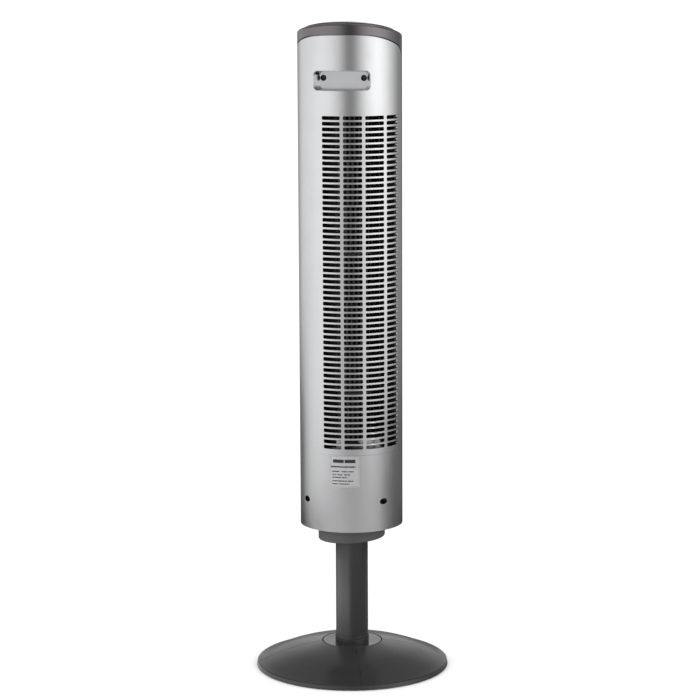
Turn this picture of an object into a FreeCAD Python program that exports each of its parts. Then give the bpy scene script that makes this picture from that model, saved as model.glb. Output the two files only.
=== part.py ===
import FreeCAD, Part
import math
import os
from FreeCAD import Vector as V

# Tower fan: a slim oscillating column fan on a round base.
# Frame: origin at the centre of the base on the floor, +Z up, -Y the air
# outlet and control side, +Y the back with the intake grille and the handle.
# All sizes in millimetres. "psi" angles are measured at the back (+Y),
# counter-clockwise seen from above.

os.makedirs("parts", exist_ok=True)

# ---------------------------------------------------------------- dimensions
TOTAL_H = 1066.8            # floor to the crown of the control panel
BODY_R = 84.5               # outside of the tower
WALL = 2.6                  # shell thickness
BODY_BOTTOM = 243.3         # lower rim of the tower
SEAM_FRONT_Z = 1000.0       # cap / front shell joint
SIDE_GAP = 0.4              # half of the shadow gap between shells

RIM_Z = 1046.8              # rim plane height on the axis
RIM_TILT = math.degrees(math.atan(0.2))   # rim plane leans to the front

PANEL_R = 74.0              # control panel disc
PANEL_STEP = 4.3            # raised edge of the panel over the rim plane
PANEL_CROWN = 11.0          # rise of the dome above its edge
PANEL_SPHERE = (PANEL_R ** 2 + PANEL_CROWN ** 2) / (2 * PANEL_CROWN)
PANEL_T = 2.5

GRILLE_COLS = [(-21.5, -0.6), (2.7, 23.6), (27.0, 50.2), (54.1, 74.6)]
GRILLE_ROWS = 60
GRILLE_PITCH = 9.0
GRILLE_TOP_ROW = 915.0      # centre of the highest row
SLOT_H = 6.2
SLOT_CORNER = 2.0
GRILLE_PSI = (-26.4, 82.4)
GRILLE_Z = (370.6, 930.4)

FRONT_COLS = [(146.6, 162.3), (163.7, 179.3), (180.7, 196.3), (197.7, 213.4)]
FRONT_PSI = (143.6, 216.4)
FRONT_Z = (366.0, 933.0)

HANDLE_Z = 973.7            # centre of the carrying recess
HANDLE_W = 90.8             # mouth width
HANDLE_H = 30.1             # mouth height
HANDLE_FLOOR_Y = 53.5       # floor plane
HANDLE_FLOOR_W = 75.8
HANDLE_FLOOR_H = 27.6
HANDLE_SCREW_X = 32.8
HANDLE_SCREW_Z = 977.2

LOW_SCREW_X = 63.1
LOW_SCREW_Z = 291.5

LABEL_W = 49.0
LABEL_Z = (318.4, 370.0)
LABEL_PSI = 2.6

BASE_R = 159.6
BASE_TOP = 40.7             # flat disc round the foot of the post
BASE_PROFILE = [(50.2, 40.6), (66.0, 37.6), (85.0, 33.6), (105.0, 28.3),
                (125.0, 21.3), (142.0, 14.2), (151.5, 10.1), (156.6, 8.5)]
BASE_BAND = (158.4, 7.6)    # upper edge of the band round the rim
BASE_SKIN = 3.0
BASE_LOW = 1.2              # underside of the flange
BASE_TURN = 16.1            # the base's own rear joint line, against the tower
FOOT_H = 3.0

POST_R = 26.8
POST_RI = 23.4
POST_Z = (BASE_TOP - 18.0, 236.0)
RING_R = 48.8

COLLAR_R = 55.2
COLLAR_TOP = 245.2
COLLAR_LOW = 217.8
COLLAR_TILT = 3.0

PIVOT_R = 16.0
SWING_MIN, SWING_MAX = -24.0, 56.0
GEAR_M = 1.0
GEAR_N = 66
PINION_N = 15

WHEEL_R = 47.0
WHEEL_RI = 37.0
WHEEL_Z0 = 390.0
WHEEL_SEG = 76.0
WHEEL_SEGS = 7
BLADES = 36
SHAFT_R = 4.0

BUTTONS = {"button_power": (-40.0, -36.0), "button_speed": (-20.5, -42.0),
           "button_timer": (0.0, -44.0), "button_swing": (20.5, -42.0),
           "button_mode": (40.0, -36.0)}
BUTTON_R = 6.5
BUTTON_TRAVEL = 1.2

# ------------------------------------------------------------------- helpers


def pol(r, a, z=0.0):
    a = math.radians(a)
    return V(r * math.cos(a), r * math.sin(a), z)


def az(psi):
    return 90.0 + psi


def cyl(r, z0, z1, x=0.0, y=0.0):
    return Part.makeCylinder(r, z1 - z0, V(x, y, z0))


def tube(ro, ri, z0, z1, x=0.0, y=0.0):
    return cyl(ro, z0, z1, x, y).cut(cyl(ri, z0 - 1, z1 + 1, x, y))


def ycyl(r, y0, y1, x, z):
    return Part.makeCylinder(r, y1 - y0, V(x, y0, z), V(0, 1, 0))


def box(x0, x1, y0, y1, z0, z1):
    return Part.makeBox(x1 - x0, y1 - y0, z1 - z0, V(x0, y0, z0))


def poly_face(points):
    pts = [V(*p) for p in points]
    return Part.Face(Part.makePolygon(pts + [pts[0]]))


def sector(ri, ro, z0, z1, a0, a1):
    f = poly_face([(ri, 0, z0), (ro, 0, z0), (ro, 0, z1), (ri, 0, z1)])
    s = f.revolve(V(0, 0, 0), V(0, 0, 1), a1 - a0)
    s.rotate(V(0, 0, 0), V(0, 0, 1), a0)
    return s


def rev(points):
    return poly_face([(r, 0, z) for r, z in points]).revolve(
        V(0, 0, 0), V(0, 0, 1), 360)


def spline(points, **kw):
    c = Part.BSplineCurve()
    c.interpolate([V(*p) for p in points], **kw)
    return c.toShape()


def rounded_rect(w, h, r, y, zc, xc=0.0):
    # closed wire in the plane Y = y
    a, b = w / 2.0, h / 2.0
    c = r * (1 - math.sqrt(0.5))
    def p(x, z):
        return V(xc + x, y, zc + z)
    e = [Part.LineSegment(p(-a + r, -b), p(a - r, -b)).toShape(),
         Part.Arc(p(a - r, -b), p(a - c, -b + c), p(a, -b + r)).toShape(),
         Part.LineSegment(p(a, -b + r), p(a, b - r)).toShape(),
         Part.Arc(p(a, b - r), p(a - c, b - c), p(a - r, b)).toShape(),
         Part.LineSegment(p(a - r, b), p(-a + r, b)).toShape(),
         Part.Arc(p(-a + r, b), p(-a + c, b - c), p(-a, b - r)).toShape(),
         Part.LineSegment(p(-a, b - r), p(-a, -b + r)).toShape(),
         Part.Arc(p(-a, -b + r), p(-a + c, -b + c), p(-a + r, -b)).toShape()]
    return Part.Wire(e)


def rrect_z(w, h, r, z0, z1, xc=0.0, yc=0.0):
    # rounded rectangle prism along Z
    wire = rounded_rect(w, h, r, 0.0, 0.0)
    f = Part.Face(wire)
    f.rotate(V(0, 0, 0), V(1, 0, 0), -90)
    f.translate(V(xc, yc, z0))
    return f.extrude(V(0, 0, z1 - z0))


def fuse(shapes):
    return shapes[0].multiFuse(shapes[1:]) if len(shapes) > 1 else shapes[0]


def try_fillet(shape, radius, pick):
    edges = [e for e in shape.Edges if pick(e)]
    if not edges:
        print("  no edge picked for a fillet of", radius)
        return shape
    try:
        out = shape.makeFillet(radius, edges)
        if out.isValid() and out.Volume > 0 and len(out.Solids) == len(shape.Solids):
            return out
    except Exception as exc:
        print("  fillet", radius, "skipped:", exc)
    return shape


def radial_slots(cols, zs, ri, ro):
    tools = []
    for p0, p1 in cols:
        s = sector(ri, ro, -SLOT_H / 2, SLOT_H / 2, az(p0), az(p1))
        s = s.makeFillet(SLOT_CORNER, [e for e in s.Edges
                         if abs(e.Length - (ro - ri)) < 1e-4
                         and e.Curve.TypeId == "Part::GeomLine"
                         and abs(e.Vertexes[0].Z - e.Vertexes[-1].Z) < 1e-6])
        for z in zs:
            c = s.copy()
            c.translate(V(0, 0, z))
            tools.append(c)
    return tools


def gear_face(n, m, phase, thin, keep=None, root=1.25, add=0.92, under=1.0):
    # spur gear outline with 20 degree involute flanks; thin is the arc taken
    # off each tooth at the pitch circle; keep(angle) limits it to a sector
    rp = m * n / 2.0
    rb = rp * math.cos(math.radians(20))
    ra, rf = rp + add * m, rp - root * m
    inv = lambda a: math.tan(a) - a
    half_p = math.pi / (2 * n) - thin / (2 * rp)
    lo = max(rb, rf)
    radii = [lo + (ra - lo) * i / 5.0 for i in range(6)]

    def half(r):
        a = math.acos(min(1.0, rb / r))
        return half_p + inv(math.radians(20)) - inv(a)

    flank = [(r, half(r)) for r in radii]
    if rf < rb:
        flank = [(rf, half(rb) * under)] + flank
    else:
        flank[0] = (rf, half(rf if rf > rb else rb))
    pts = []
    for k in range(n):
        c = math.radians(phase) + 2 * math.pi * k / n
        ang = (math.degrees(c) + 180) % 360 - 180
        if keep is not None and not keep(ang):
            for d in (-0.25, 0.25):
                a = c + d * 2 * math.pi / n
                pts.append((rf * math.cos(a), rf * math.sin(a), 0))
            continue
        for r, h in flank:
            pts.append((r * math.cos(c - h), r * math.sin(c - h), 0))
        for r, h in reversed(flank):
            pts.append((r * math.cos(c + h), r * math.sin(c + h), 0))
    return poly_face(pts)


NODES = {}


def put(name, shape):
    if isinstance(shape, (list, tuple)):
        shape = Part.makeCompound([s for g in shape for s in g.Solids])
    solids = shape.Solids
    if not solids:
        raise RuntimeError(name + " has no solid")
    if len(solids) == 1:
        shape = solids[0]
    else:
        shape = Part.makeCompound(solids)
    if not shape.isValid():
        print("  INVALID", name)
    NODES[name] = shape


def screw_y(x, z, y_head, head_r, head_h, shank_r, y_end, socket=1.1):
    # pan-head screw driven towards -Y: head sits at y_head .. y_head + head_h
    head = ycyl(head_r, y_head, y_head + head_h, x, z)
    cross = fuse([box(x - 0.5, x + 0.5, y_head + head_h - socket, y_head + head_h + 1,
                      z - head_r * 0.55, z + head_r * 0.55),
                  box(x - head_r * 0.55, x + head_r * 0.55, y_head + head_h - socket,
                      y_head + head_h + 1, z - 0.5, z + 0.5)])
    head = try_fillet(head, head_h * 0.35, lambda e: abs(e.BoundBox.YMin - (y_head + head_h)) < 1e-6)
    return head.fuse(ycyl(shank_r, y_end, y_head, x, z)).cut(cross)


def screw_z(x, y, z_head, head_r, head_h, shank_r, length, up=True):
    # up: the shank points up from a head that hangs below z_head
    if up:
        return cyl(head_r, z_head - head_h, z_head, x, y).fuse(
            cyl(shank_r, z_head, z_head + length, x, y)).cut(
            fuse([box(x - 0.5, x + 0.5, y - head_r * 0.55, y + head_r * 0.55,
                      z_head - head_h - 1, z_head - head_h + 1),
                  box(x - head_r * 0.55, x + head_r * 0.55, y - 0.5, y + 0.5,
                      z_head - head_h - 1, z_head - head_h + 1)]))
    return cyl(head_r, z_head, z_head + head_h, x, y).fuse(
        cyl(shank_r, z_head - length, z_head, x, y)).cut(
        fuse([box(x - 0.5, x + 0.5, y - head_r * 0.55, y + head_r * 0.55,
                  z_head + head_h - 1, z_head + head_h + 1),
              box(x - head_r * 0.55, x + head_r * 0.55, y - 0.5, y + 0.5,
                  z_head + head_h - 1, z_head + head_h + 1)]))


RI = BODY_R - WALL
BIG = 200.0

# ------------------------------------------------------- tower shells and cap
# Side profile of the back shell's upper edge, in the plane X = 0
SEAM = [(0.0, 1003.0), (0.9, 1010.2), (5.4, 1017.6), (15.5, 1025.2), (27.5, 1030.4),
        (41.0, 1035.3), (50.9, 1038.6), (58.7, 1040.9), (70.9, 1043.9), (84.5, 1045.4),
        (98.0, 1046.0)]


def seam_solid(dy, dz, low, lowest=200.0):
    # everything behind the vertical side joint and under the upper edge
    pts = [(0, y + dy, z + dz - low) for y, z in SEAM]
    top = spline(pts)
    first, last = pts[0], pts[-1]
    e = [Part.LineSegment(V(0, first[1], lowest), V(*first)).toShape(), top,
         Part.LineSegment(V(*last), V(0, last[1], lowest)).toShape(),
         Part.LineSegment(V(0, last[1], lowest), V(0, first[1], lowest)).toShape()]
    f = Part.Face(Part.Wire(e))
    f.translate(V(-100, 0, 0))
    return f.extrude(V(200, 0, 0))


rear_tool = seam_solid(SIDE_GAP, 0.0, 0.0)
ring = tube(BODY_R, RI, BODY_BOTTOM, 1064.0)
rear = ring.common(rear_tool)


def on_outer(e, r=BODY_R):
    return all(abs(math.hypot(v.X, v.Y) - r) < 0.05 for v in e.Vertexes)


def is_seam_edge(e):
    # outer long edges: the upper curved edge and the two upright side edges
    bb = e.BoundBox
    if not on_outer(e):
        return False
    mid = e.valueAt((e.FirstParameter + e.LastParameter) / 2.0)
    if abs(math.hypot(mid.x, mid.y) - BODY_R) > 0.05:
        return False
    return bb.ZMax > BODY_BOTTOM + 5 and bb.YMax > -1


rear = try_fillet(rear, 0.9, is_seam_edge)
# small rolled bead along the lower rim
rear = rear.cut(sector(RI - 1, BODY_R - 1.0, BODY_BOTTOM - 1, BODY_BOTTOM + 1.6, az(-95), az(95)))
bead = sector(BODY_R - 0.9, BODY_R + 0.35, BODY_BOTTOM, BODY_BOTTOM + 1.7, az(-89.6), az(89.6))
rear = rear.fuse(bead).removeSplitter()

# carrying recess
PO = 2.2                    # wall of the recess cup


def handle_loft(grow, y_in, y_out=92.0):
    # the walls open outwards: mouth width is reached where they meet the tower
    y_mouth = math.sqrt(BODY_R ** 2 - (HANDLE_W / 2) ** 2)
    kw = (HANDLE_W - HANDLE_FLOOR_W) / (y_mouth - HANDLE_FLOOR_Y)
    kh = (HANDLE_H - HANDLE_FLOOR_H) / (BODY_R - HANDLE_FLOOR_Y)
    w = lambda y: HANDLE_FLOOR_W + kw * (y - HANDLE_FLOOR_Y) + 2 * grow
    h = lambda y: HANDLE_FLOOR_H + kh * (y - HANDLE_FLOOR_Y) + 2 * grow
    a = rounded_rect(w(y_in), h(y_in), 6.2 + grow, y_in, HANDLE_Z)
    b = rounded_rect(w(y_out), h(y_out), 8.2 + grow, y_out, HANDLE_Z)
    return Part.makeLoft([a, b], True, True)


cup_out = handle_loft(PO, HANDLE_FLOOR_Y - PO)
cup_in = handle_loft(0.0, HANDLE_FLOOR_Y)
rear = rear.cut(cup_out)
pocket = cup_out.common(cyl(BODY_R, 900, 1040)).cut(cup_in)
pocket = try_fillet(pocket, 1.3, lambda e: all(
    abs(math.hypot(p.x, p.y) - BODY_R) < 0.05 for p in e.discretize(5))
    and e.BoundBox.XMin > -HANDLE_W / 2 - 1.0 and e.BoundBox.XMax < HANDLE_W / 2 + 1.0
    and e.BoundBox.ZMin > HANDLE_Z - HANDLE_H / 2 - 1.0
    and e.BoundBox.ZMax < HANDLE_Z + HANDLE_H / 2 + 1.0)
for s in (-1, 1):
    x = s * HANDLE_SCREW_X
    pocket = pocket.fuse(ycyl(7.6, 43.0, HANDLE_FLOOR_Y - 0.5, x, HANDLE_SCREW_Z))
for s in (-1, 1):
    x = s * HANDLE_SCREW_X
    pocket = pocket.cut(ycyl(4.9, 46.5, 60.0, x, HANDLE_SCREW_Z))
    pocket = pocket.cut(ycyl(2.2, 40.0, 50.0, x, HANDLE_SCREW_Z))
# small locating nick in the upper lip of the recess
pocket = pocket.cut(box(-5.6, -3.9, 79.0, 90.0, HANDLE_Z + HANDLE_H / 2 - 0.6, HANDLE_Z + HANDLE_H / 2 + 0.9))
put("handle_recess", pocket)

# lower screw wells in the back shell
for s in (-1, 1):
    x = s * LOW_SCREW_X
    rear = rear.fuse(ycyl(7.2, 38.0, 70.0, x, LOW_SCREW_Z).common(cyl(BODY_R - 0.6, 200, 400)))
for s in (-1, 1):
    x = s * LOW_SCREW_X
    rear = rear.cut(ycyl(5.0, 41.0, 90.0, x, LOW_SCREW_Z))
    rear = rear.cut(ycyl(2.1, 30.0, 50.0, x, LOW_SCREW_Z))

# intake grille insert in a window of the back shell
rows = [GRILLE_TOP_ROW - GRILLE_PITCH * i for i in range(GRILLE_ROWS)]
window = sector(RI - 3, BODY_R + 3, GRILLE_Z[0], GRILLE_Z[1], az(GRILLE_PSI[0]), az(GRILLE_PSI[1]))
rear = rear.cut(window)
put("rear_shell", rear)

grille = sector(RI - 0.4, BODY_R, GRILLE_Z[0], GRILLE_Z[1], az(GRILLE_PSI[0]), az(GRILLE_PSI[1]))
grille = try_fillet(grille, 0.5, lambda e: abs(e.BoundBox.ZMax - GRILLE_Z[0]) < 1e-6
                    and abs(e.BoundBox.ZMin - GRILLE_Z[0]) < 1e-6
                    and all(abs(math.hypot(p.x, p.y) - BODY_R) < 0.05 for p in e.discretize(3)))
grille = grille.cut(radial_slots(GRILLE_COLS, rows, RI - 6, BODY_R + 4))
put("rear_grille", grille)

# front shell with the outlet window, a lip behind the side joints and bosses
front = tube(BODY_R, RI, BODY_BOTTOM, SEAM_FRONT_Z - 0.3).common(
    box(-100, 100, -100, -SIDE_GAP, 200, 1100))
lip = tube(RI - 0.15, RI - 2.6, BODY_BOTTOM + 8, SEAM_FRONT_Z - 6).common(
    fuse([box(-100, -60, -7, 5, 200, 1100), box(60, 100, -7, 5, 200, 1100)]))
bridge = tube(RI + 0.5, RI - 2.0, BODY_BOTTOM + 8, SEAM_FRONT_Z - 6).common(
    fuse([box(-100, -60, -7, -SIDE_GAP - 1, 200, 1100), box(60, 100, -7, -SIDE_GAP - 1, 200, 1100)]))
front = front.multiFuse([lip, bridge])
front = front.cut(sector(RI - 4, BODY_R + 3, FRONT_Z[0], FRONT_Z[1], az(FRONT_PSI[0]), az(FRONT_PSI[1])))
for s in (-1, 1):
    x = s * LOW_SCREW_X
    boss = ycyl(5.4, -70.0, 37.8, x, LOW_SCREW_Z).common(cyl(BODY_R - 0.8, 200, 400))
    front = front.fuse(boss).cut(ycyl(1.9, 14.0, 40.0, x, LOW_SCREW_Z))
front = front.removeSplitter()
put("front_shell", front)

fgrille = sector(RI - 1.0, BODY_R - 0.6, FRONT_Z[0], FRONT_Z[1], az(FRONT_PSI[0]), az(FRONT_PSI[1]))
fgrille = fgrille.cut(radial_slots(FRONT_COLS, rows, RI - 6, BODY_R + 4))
put("front_grille", fgrille)

# top cap: leaning rim plane, rounded rim, open in the middle
TOP = FreeCAD.Placement(V(0, 0, RIM_Z), FreeCAD.Rotation(V(1, 0, 0), RIM_TILT))


def top_local(shape):
    s = shape.copy()
    s.Placement = TOP.multiply(s.Placement)
    return s


above = top_local(box(-BIG, BIG, -BIG, BIG, 0.0, BIG))
above_in = top_local(box(-BIG, BIG, -BIG, BIG, -2.6, BIG))
cap = cyl(BODY_R, 980, 1100).cut(above)
cap = try_fillet(cap, 3.0, lambda e: e.BoundBox.ZMin > 1020 and e.Curve.TypeId != "Part::GeomLine")
cap = cap.cut(cyl(RI, 970, 1100).cut(above_in))
cap = cap.cut(top_local(cyl(70.0, -30, 30)))
cap_low = fuse([box(-BIG, BIG, -BIG, -SIDE_GAP + 0.4, 200, SEAM_FRONT_Z),
                seam_solid(-SIDE_GAP, 0.9, 0.0)])
cap = cap.cut(cap_low)
# inner lip that the shells slide over
cap_lip = tube(RI - 0.15, RI - 2.4, SEAM_FRONT_Z - 5.0, 1075.0).cut(above_in)
cap_lip = cap_lip.cut(seam_solid(-SIDE_GAP, 0.0, 6.0)).cut(box(-BIG, BIG, 0, BIG, 200, 1000.0))
join = tube(RI + 0.4, RI - 2.2, SEAM_FRONT_Z + 2.0, 1075.0).cut(above_in).cut(
    seam_solid(-SIDE_GAP, 3.0, 0.0)).cut(box(-BIG, BIG, -BIG, BIG, 200, 1002.0))
cap = cap.multiFuse([cap_lip, join]).removeSplitter()
put("top_cap", cap)

# ------------------------------------------------------------- control panel
PZC = PANEL_STEP + PANEL_CROWN - PANEL_SPHERE
ball = Part.makeSphere(PANEL_SPHERE, V(0, 0, PZC))
ball_in = Part.makeSphere(PANEL_SPHERE - PANEL_T, V(0, 0, PZC))


def dome_z(x, y):
    return PZC + math.sqrt(PANEL_SPHERE ** 2 - x * x - y * y)


panel = cyl(PANEL_R, 0, 40).common(ball)
panel = try_fillet(panel, 1.2, lambda e: e.BoundBox.ZMin > PANEL_STEP - 0.5 and e.BoundBox.ZMax < PANEL_STEP + 0.5)
panel = panel.fuse(tube(69.8, 67.5, -4.0, 0.5))
panel = panel.cut(cyl(67.5, -10, 40).common(ball_in))
BOARD_Z = (-12.0, -10.4)
BOSSES = [(-50.0, 14.0), (50.0, 14.0), (0.0, 48.0)]
for x, y in BOSSES:
    panel = panel.fuse(cyl(3.6, BOARD_Z[1], dome_z(x, y) - 1.0, x, y))
    panel = panel.cut(cyl(1.4, BOARD_Z[1] - 1, BOARD_Z[1] + 8, x, y))
for x, y in BUTTONS.values():
    panel = panel.cut(cyl(BUTTON_R + 0.35, -5, 40, x, y))
LENS = (46.0, 17.0, 3.5, 0.0, -10.0)
panel = panel.cut(rrect_z(LENS[0] + 0.3, LENS[1] + 0.3, LENS[2], -5, 40, LENS[3], LENS[4]))
put("control_panel", top_local(panel))
put("panel_trim_ring", top_local(try_fillet(tube(77.6, PANEL_R + 0.1, 0.0, 2.0), 0.7,
    lambda e: abs(e.BoundBox.ZMin - 2.0) < 1e-6)))
lens = rrect_z(LENS[0], LENS[1], LENS[2], -5, 40, LENS[3], LENS[4]).common(ball).cut(ball_in)
put("display_window", top_local(lens))

board = cyl(62.0, BOARD_Z[0], BOARD_Z[1]).common(box(-62, 62, -54, 56, -20, 0))
for x, y in BOSSES:
    board = board.cut(cyl(1.7, -20, 0, x, y))
put("control_board", top_local(board))
SW_TOP = -5.2 - BUTTON_TRAVEL - 0.1
put("tact_switches", top_local(Part.makeCompound([
    box(x - 3, x + 3, y - 3, y + 3, BOARD_Z[1], SW_TOP - 1.2).fuse(
        cyl(1.7, SW_TOP - 1.2, SW_TOP, x, y)) for x, y in BUTTONS.values()])))
put("speed_lamps", top_local(Part.makeCompound([
    cyl(1.5, BOARD_Z[1], BOARD_Z[1] + 5.5, x, -10.0) for x in (-15.0, -7.5, 0.0, 7.5, 15.0)])))
put("board_screws", [top_local(screw_z(x, y, BOARD_Z[0], 2.8, 1.8, 1.4, 8.5)) for x, y in BOSSES])
for name, (x, y) in BUTTONS.items():
    zt = dome_z(x, y) + 1.3
    b = cyl(BUTTON_R, 3.3, zt, x, y)
    b = try_fillet(b, 0.8, lambda e, zt=zt: abs(e.BoundBox.ZMin - zt) < 1e-6)
    b = b.multiFuse([cyl(8.0, 1.9, 3.4, x, y), cyl(2.2, -5.2, 2.0, x, y)])
    put(name, top_local(b))

# ------------------------------------------------------------------- airflow
WHEEL_Z1 = WHEEL_Z0 + WHEEL_SEG * WHEEL_SEGS


def blade(z0, z1):
    def arc(d):
        return [pol(WHEEL_RI - 0.1, d), pol(42.4, d - 2.2), pol(WHEEL_R - 0.1, d - 8.5)]
    a, b = arc(0.0), arc(1.25)
    w = Part.Wire([Part.Arc(*a).toShape(), Part.LineSegment(a[2], b[2]).toShape(),
                   Part.Arc(*reversed(b)).toShape(), Part.LineSegment(b[0], a[0]).toShape()])
    f = Part.Face(w)
    f.translate(V(0, 0, z0))
    return f.extrude(V(0, 0, z1 - z0))


one = blade(1.2, WHEEL_SEG)
blades = []
for i in range(BLADES):
    c = one.copy()
    c.rotate(V(0, 0, 0), V(0, 0, 1), i * 360.0 / BLADES)
    blades.append(c)
segment = tube(WHEEL_R, WHEEL_RI - 1.5, 0.0, 1.6).multiFuse(blades)
segments = []
for k in range(WHEEL_SEGS):
    s = segment.copy()
    s.rotate(V(0, 0, 0), V(0, 0, 1), 4.3 * k)
    s.translate(V(0, 0, WHEEL_Z0 + WHEEL_SEG * k))
    segments.append(s)
put("wheel_segments", segments)

put("wheel_top_disc", fuse([cyl(WHEEL_R, WHEEL_Z1, WHEEL_Z1 + 2.0), cyl(10.0, WHEEL_Z1 - 14, WHEEL_Z1),
                            ]).cut(cyl(SHAFT_R, WHEEL_Z1 - 12, WHEEL_Z1 + 3)))
put("wheel_top_stub", cyl(SHAFT_R, WHEEL_Z1 - 12, WHEEL_Z1 + 18))
hub = fuse([cyl(WHEEL_R, WHEEL_Z0 - 2.4, WHEEL_Z0), cyl(13.0, WHEEL_Z0 - 12, WHEEL_Z0 + 12)])
hub = hub.cut(cyl(SHAFT_R, WHEEL_Z0 - 20, WHEEL_Z0 + 8))
hub = hub.cut(Part.makeCylinder(1.9, 20, V(0, 0, WHEEL_Z0 - 7), V(0, 1, 0)))
put("wheel_drive_hub", hub)
put("hub_set_screw", Part.makeCylinder(1.85, 7.5, V(0, SHAFT_R + 0.02, WHEEL_Z0 - 7), V(0, 1, 0)))

# spiral rear guide on the +X side and the cut-off wall on the -X side
scroll_az = [72.0, 55.0, 35.0, 15.0, -5.0, -25.0, -42.0, -55.5]
scroll_r = [51.0, 52.5, 54.8, 57.8, 61.4, 66.0, 71.5, 78.6]


def wall(azs, rs, t, z0, z1):
    a = [pol(r, g) for g, r in zip(azs, rs)]
    b = [pol(r + t, g) for g, r in zip(azs, rs)]
    e1, e2 = spline([tuple(p) for p in a]), spline([tuple(p) for p in b])
    w = Part.Wire([e1, Part.LineSegment(a[-1], b[-1]).toShape(), e2,
                   Part.LineSegment(b[0], a[0]).toShape()])
    f = Part.Face(w)
    f.translate(V(0, 0, z0))
    return f.extrude(V(0, 0, z1 - z0))


DUCT_Z = (376.5, WHEEL_Z1 + 4.0)
scroll = wall(scroll_az, scroll_r, 2.0, *DUCT_Z)
put("air_guide_wall", scroll)
cut_az = [172.0, 181.0, 190.0, 198.0, 206.0, 214.0, 224.0, 233.5]
cut_r = [74.5, 60.5, 51.5, 48.9, 48.9, 50.6, 60.5, 77.6]
put("cutoff_wall", wall(cut_az, cut_r, 2.2, *DUCT_Z))

# upper frame: plate over the wheel, bearing seat and handle bosses
UF = (WHEEL_Z1 + 6.0, WHEEL_Z1 + 9.0)
frame = cyl(RI - 2.8, *UF).common(box(-90, 90, -62, 68, 900, 1000))
frame = frame.fuse(cyl(20.0, UF[0], UF[1] + 9.0))
for s in (-1, 1):
    x = s * HANDLE_SCREW_X
    frame = frame.fuse(box(x - 8, x + 8, 22, 42.8, UF[0] + 1, HANDLE_SCREW_Z + 8))
    frame = frame.fuse(box(x - 1.5, x + 1.5, -30, 22.5, UF[0] + 1, HANDLE_SCREW_Z - 14))
    frame = frame.cut(ycyl(1.9, 24.0, 50.0, x, HANDLE_SCREW_Z))
frame = frame.cut(cyl(14.0, UF[0] - 1, UF[1] + 10))
put("upper_frame", frame.removeSplitter())
bush = rev([(9.0, UF[0]), (14.0, UF[0]), (14.0, UF[1] + 9), (9.0, UF[1] + 9)])
put("bearing_bush", bush)
put("upper_bearing", tube(9.0, SHAFT_R + 0.06, UF[0], UF[1] + 9))

# motor: bracket, two end bells, laminated core, windings, rotor and shaft
MB = (372.0, 374.2)
bracket = cyl(76.0, *MB).common(box(-90, 90, -60, 60, 300, 400))
bracket = bracket.cut(cyl(15.0, 360, 380))
POSTS = [(-50.0, -42.0), (50.0, -42.0), (-50.0, 42.0), (50.0, 42.0)]
for x, y in POSTS:
    bracket = bracket.cut(cyl(2.3, 360, 380, x, y))
MFIX = [pol(34.0, a) for a in (30, 150, 270)]
for p in MFIX:
    bracket = bracket.cut(cyl(2.2, 360, 380, p.x, p.y))
put("motor_bracket", bracket)
put("motor_posts", [tube(5.0, 2.0, 250.0, MB[0], x, y) for x, y in POSTS])
put("motor_post_screws", [screw_z(x, y, MB[1], 4.2, 1.8, 1.9, 13.0, up=False) for x, y in POSTS] +
    [screw_z(x, y, 246.0, 4.2, 1.8, 1.9, 13.0) for x, y in POSTS])

CORE = (326.0, 350.0)
bell_top = cyl(43.5, CORE[1], MB[0]).cut(cyl(40.5, CORE[1] - 1, MB[0] - 3.0))
bell_top = bell_top.fuse(cyl(11.0, MB[0] - 12, MB[0])).cut(cyl(7.0, CORE[1] - 1, MB[0] + 1))
for a in range(15, 360, 30):
    p = pol(42.0, a)
    c = box(-4, 4, -3, 3, CORE[1] + 5, MB[0] - 6)
    c.rotate(V(0, 0, 0), V(0, 0, 1), a + 90)
    c.translate(V(p.x, p.y, 0))
    bell_top = bell_top.cut(c)
for p in MFIX:
    bell_top = bell_top.cut(cyl(1.7, MB[0] - 5, MB[0] + 1, p.x, p.y))
put("motor_top_bell", bell_top)
LOWB = 304.0
bell_low = cyl(43.5, LOWB, CORE[0]).cut(cyl(40.5, LOWB + 3, CORE[0] + 1))
bell_low = bell_low.fuse(cyl(11.0, LOWB, LOWB + 12)).cut(cyl(7.0, LOWB - 1, LOWB + 20))
put("motor_bottom_bell", bell_low)
core = cyl(43.5, *CORE).cut(cyl(28.0, CORE[0] - 1, CORE[1] + 1))
put("stator_core", core)
put("stator_windings", [tube(39.5, 29.0, CORE[1], CORE[1] + 9.0), tube(39.5, 29.0, CORE[0] - 9.0, CORE[0])])
put("motor_bearings", [tube(7.0, SHAFT_R + 0.06, MB[0] - 12, MB[0]), tube(7.0, SHAFT_R + 0.06, LOWB, LOWB + 12)])
put("motor_rotor", tube(27.5, SHAFT_R, CORE[0], CORE[1]))
put("motor_shaft", cyl(SHAFT_R, LOWB - 3, WHEEL_Z0 + 7))
put("run_capacitor", rrect_z(38, 17, 2.5, 256, 284, 0, 58.0))

# ---------------------------------------------------------------- head floor
plate = cyl(RI - 0.3, 246.0, 250.0).fuse(cyl(29.0, 244.1, 246.2))
plate = plate.cut(cyl(PIVOT_R, 240, 255))
PINION_C = (0.0, -(GEAR_M * (GEAR_N + PINION_N) / 2.0))
plate = plate.cut(cyl(5.0, 240, 255, *PINION_C))
for x, y in POSTS:
    plate = plate.cut(cyl(2.2, 240, 255, x, y))
EARS = [(PINION_C[0] - 29.0, PINION_C[1]), (PINION_C[0] + 29.0, PINION_C[1])]
for x, y in EARS:
    plate = plate.fuse(cyl(4.5, 249.5, 256.0, x, y))
    plate = plate.cut(cyl(1.7, 248, 257, x, y))
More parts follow.
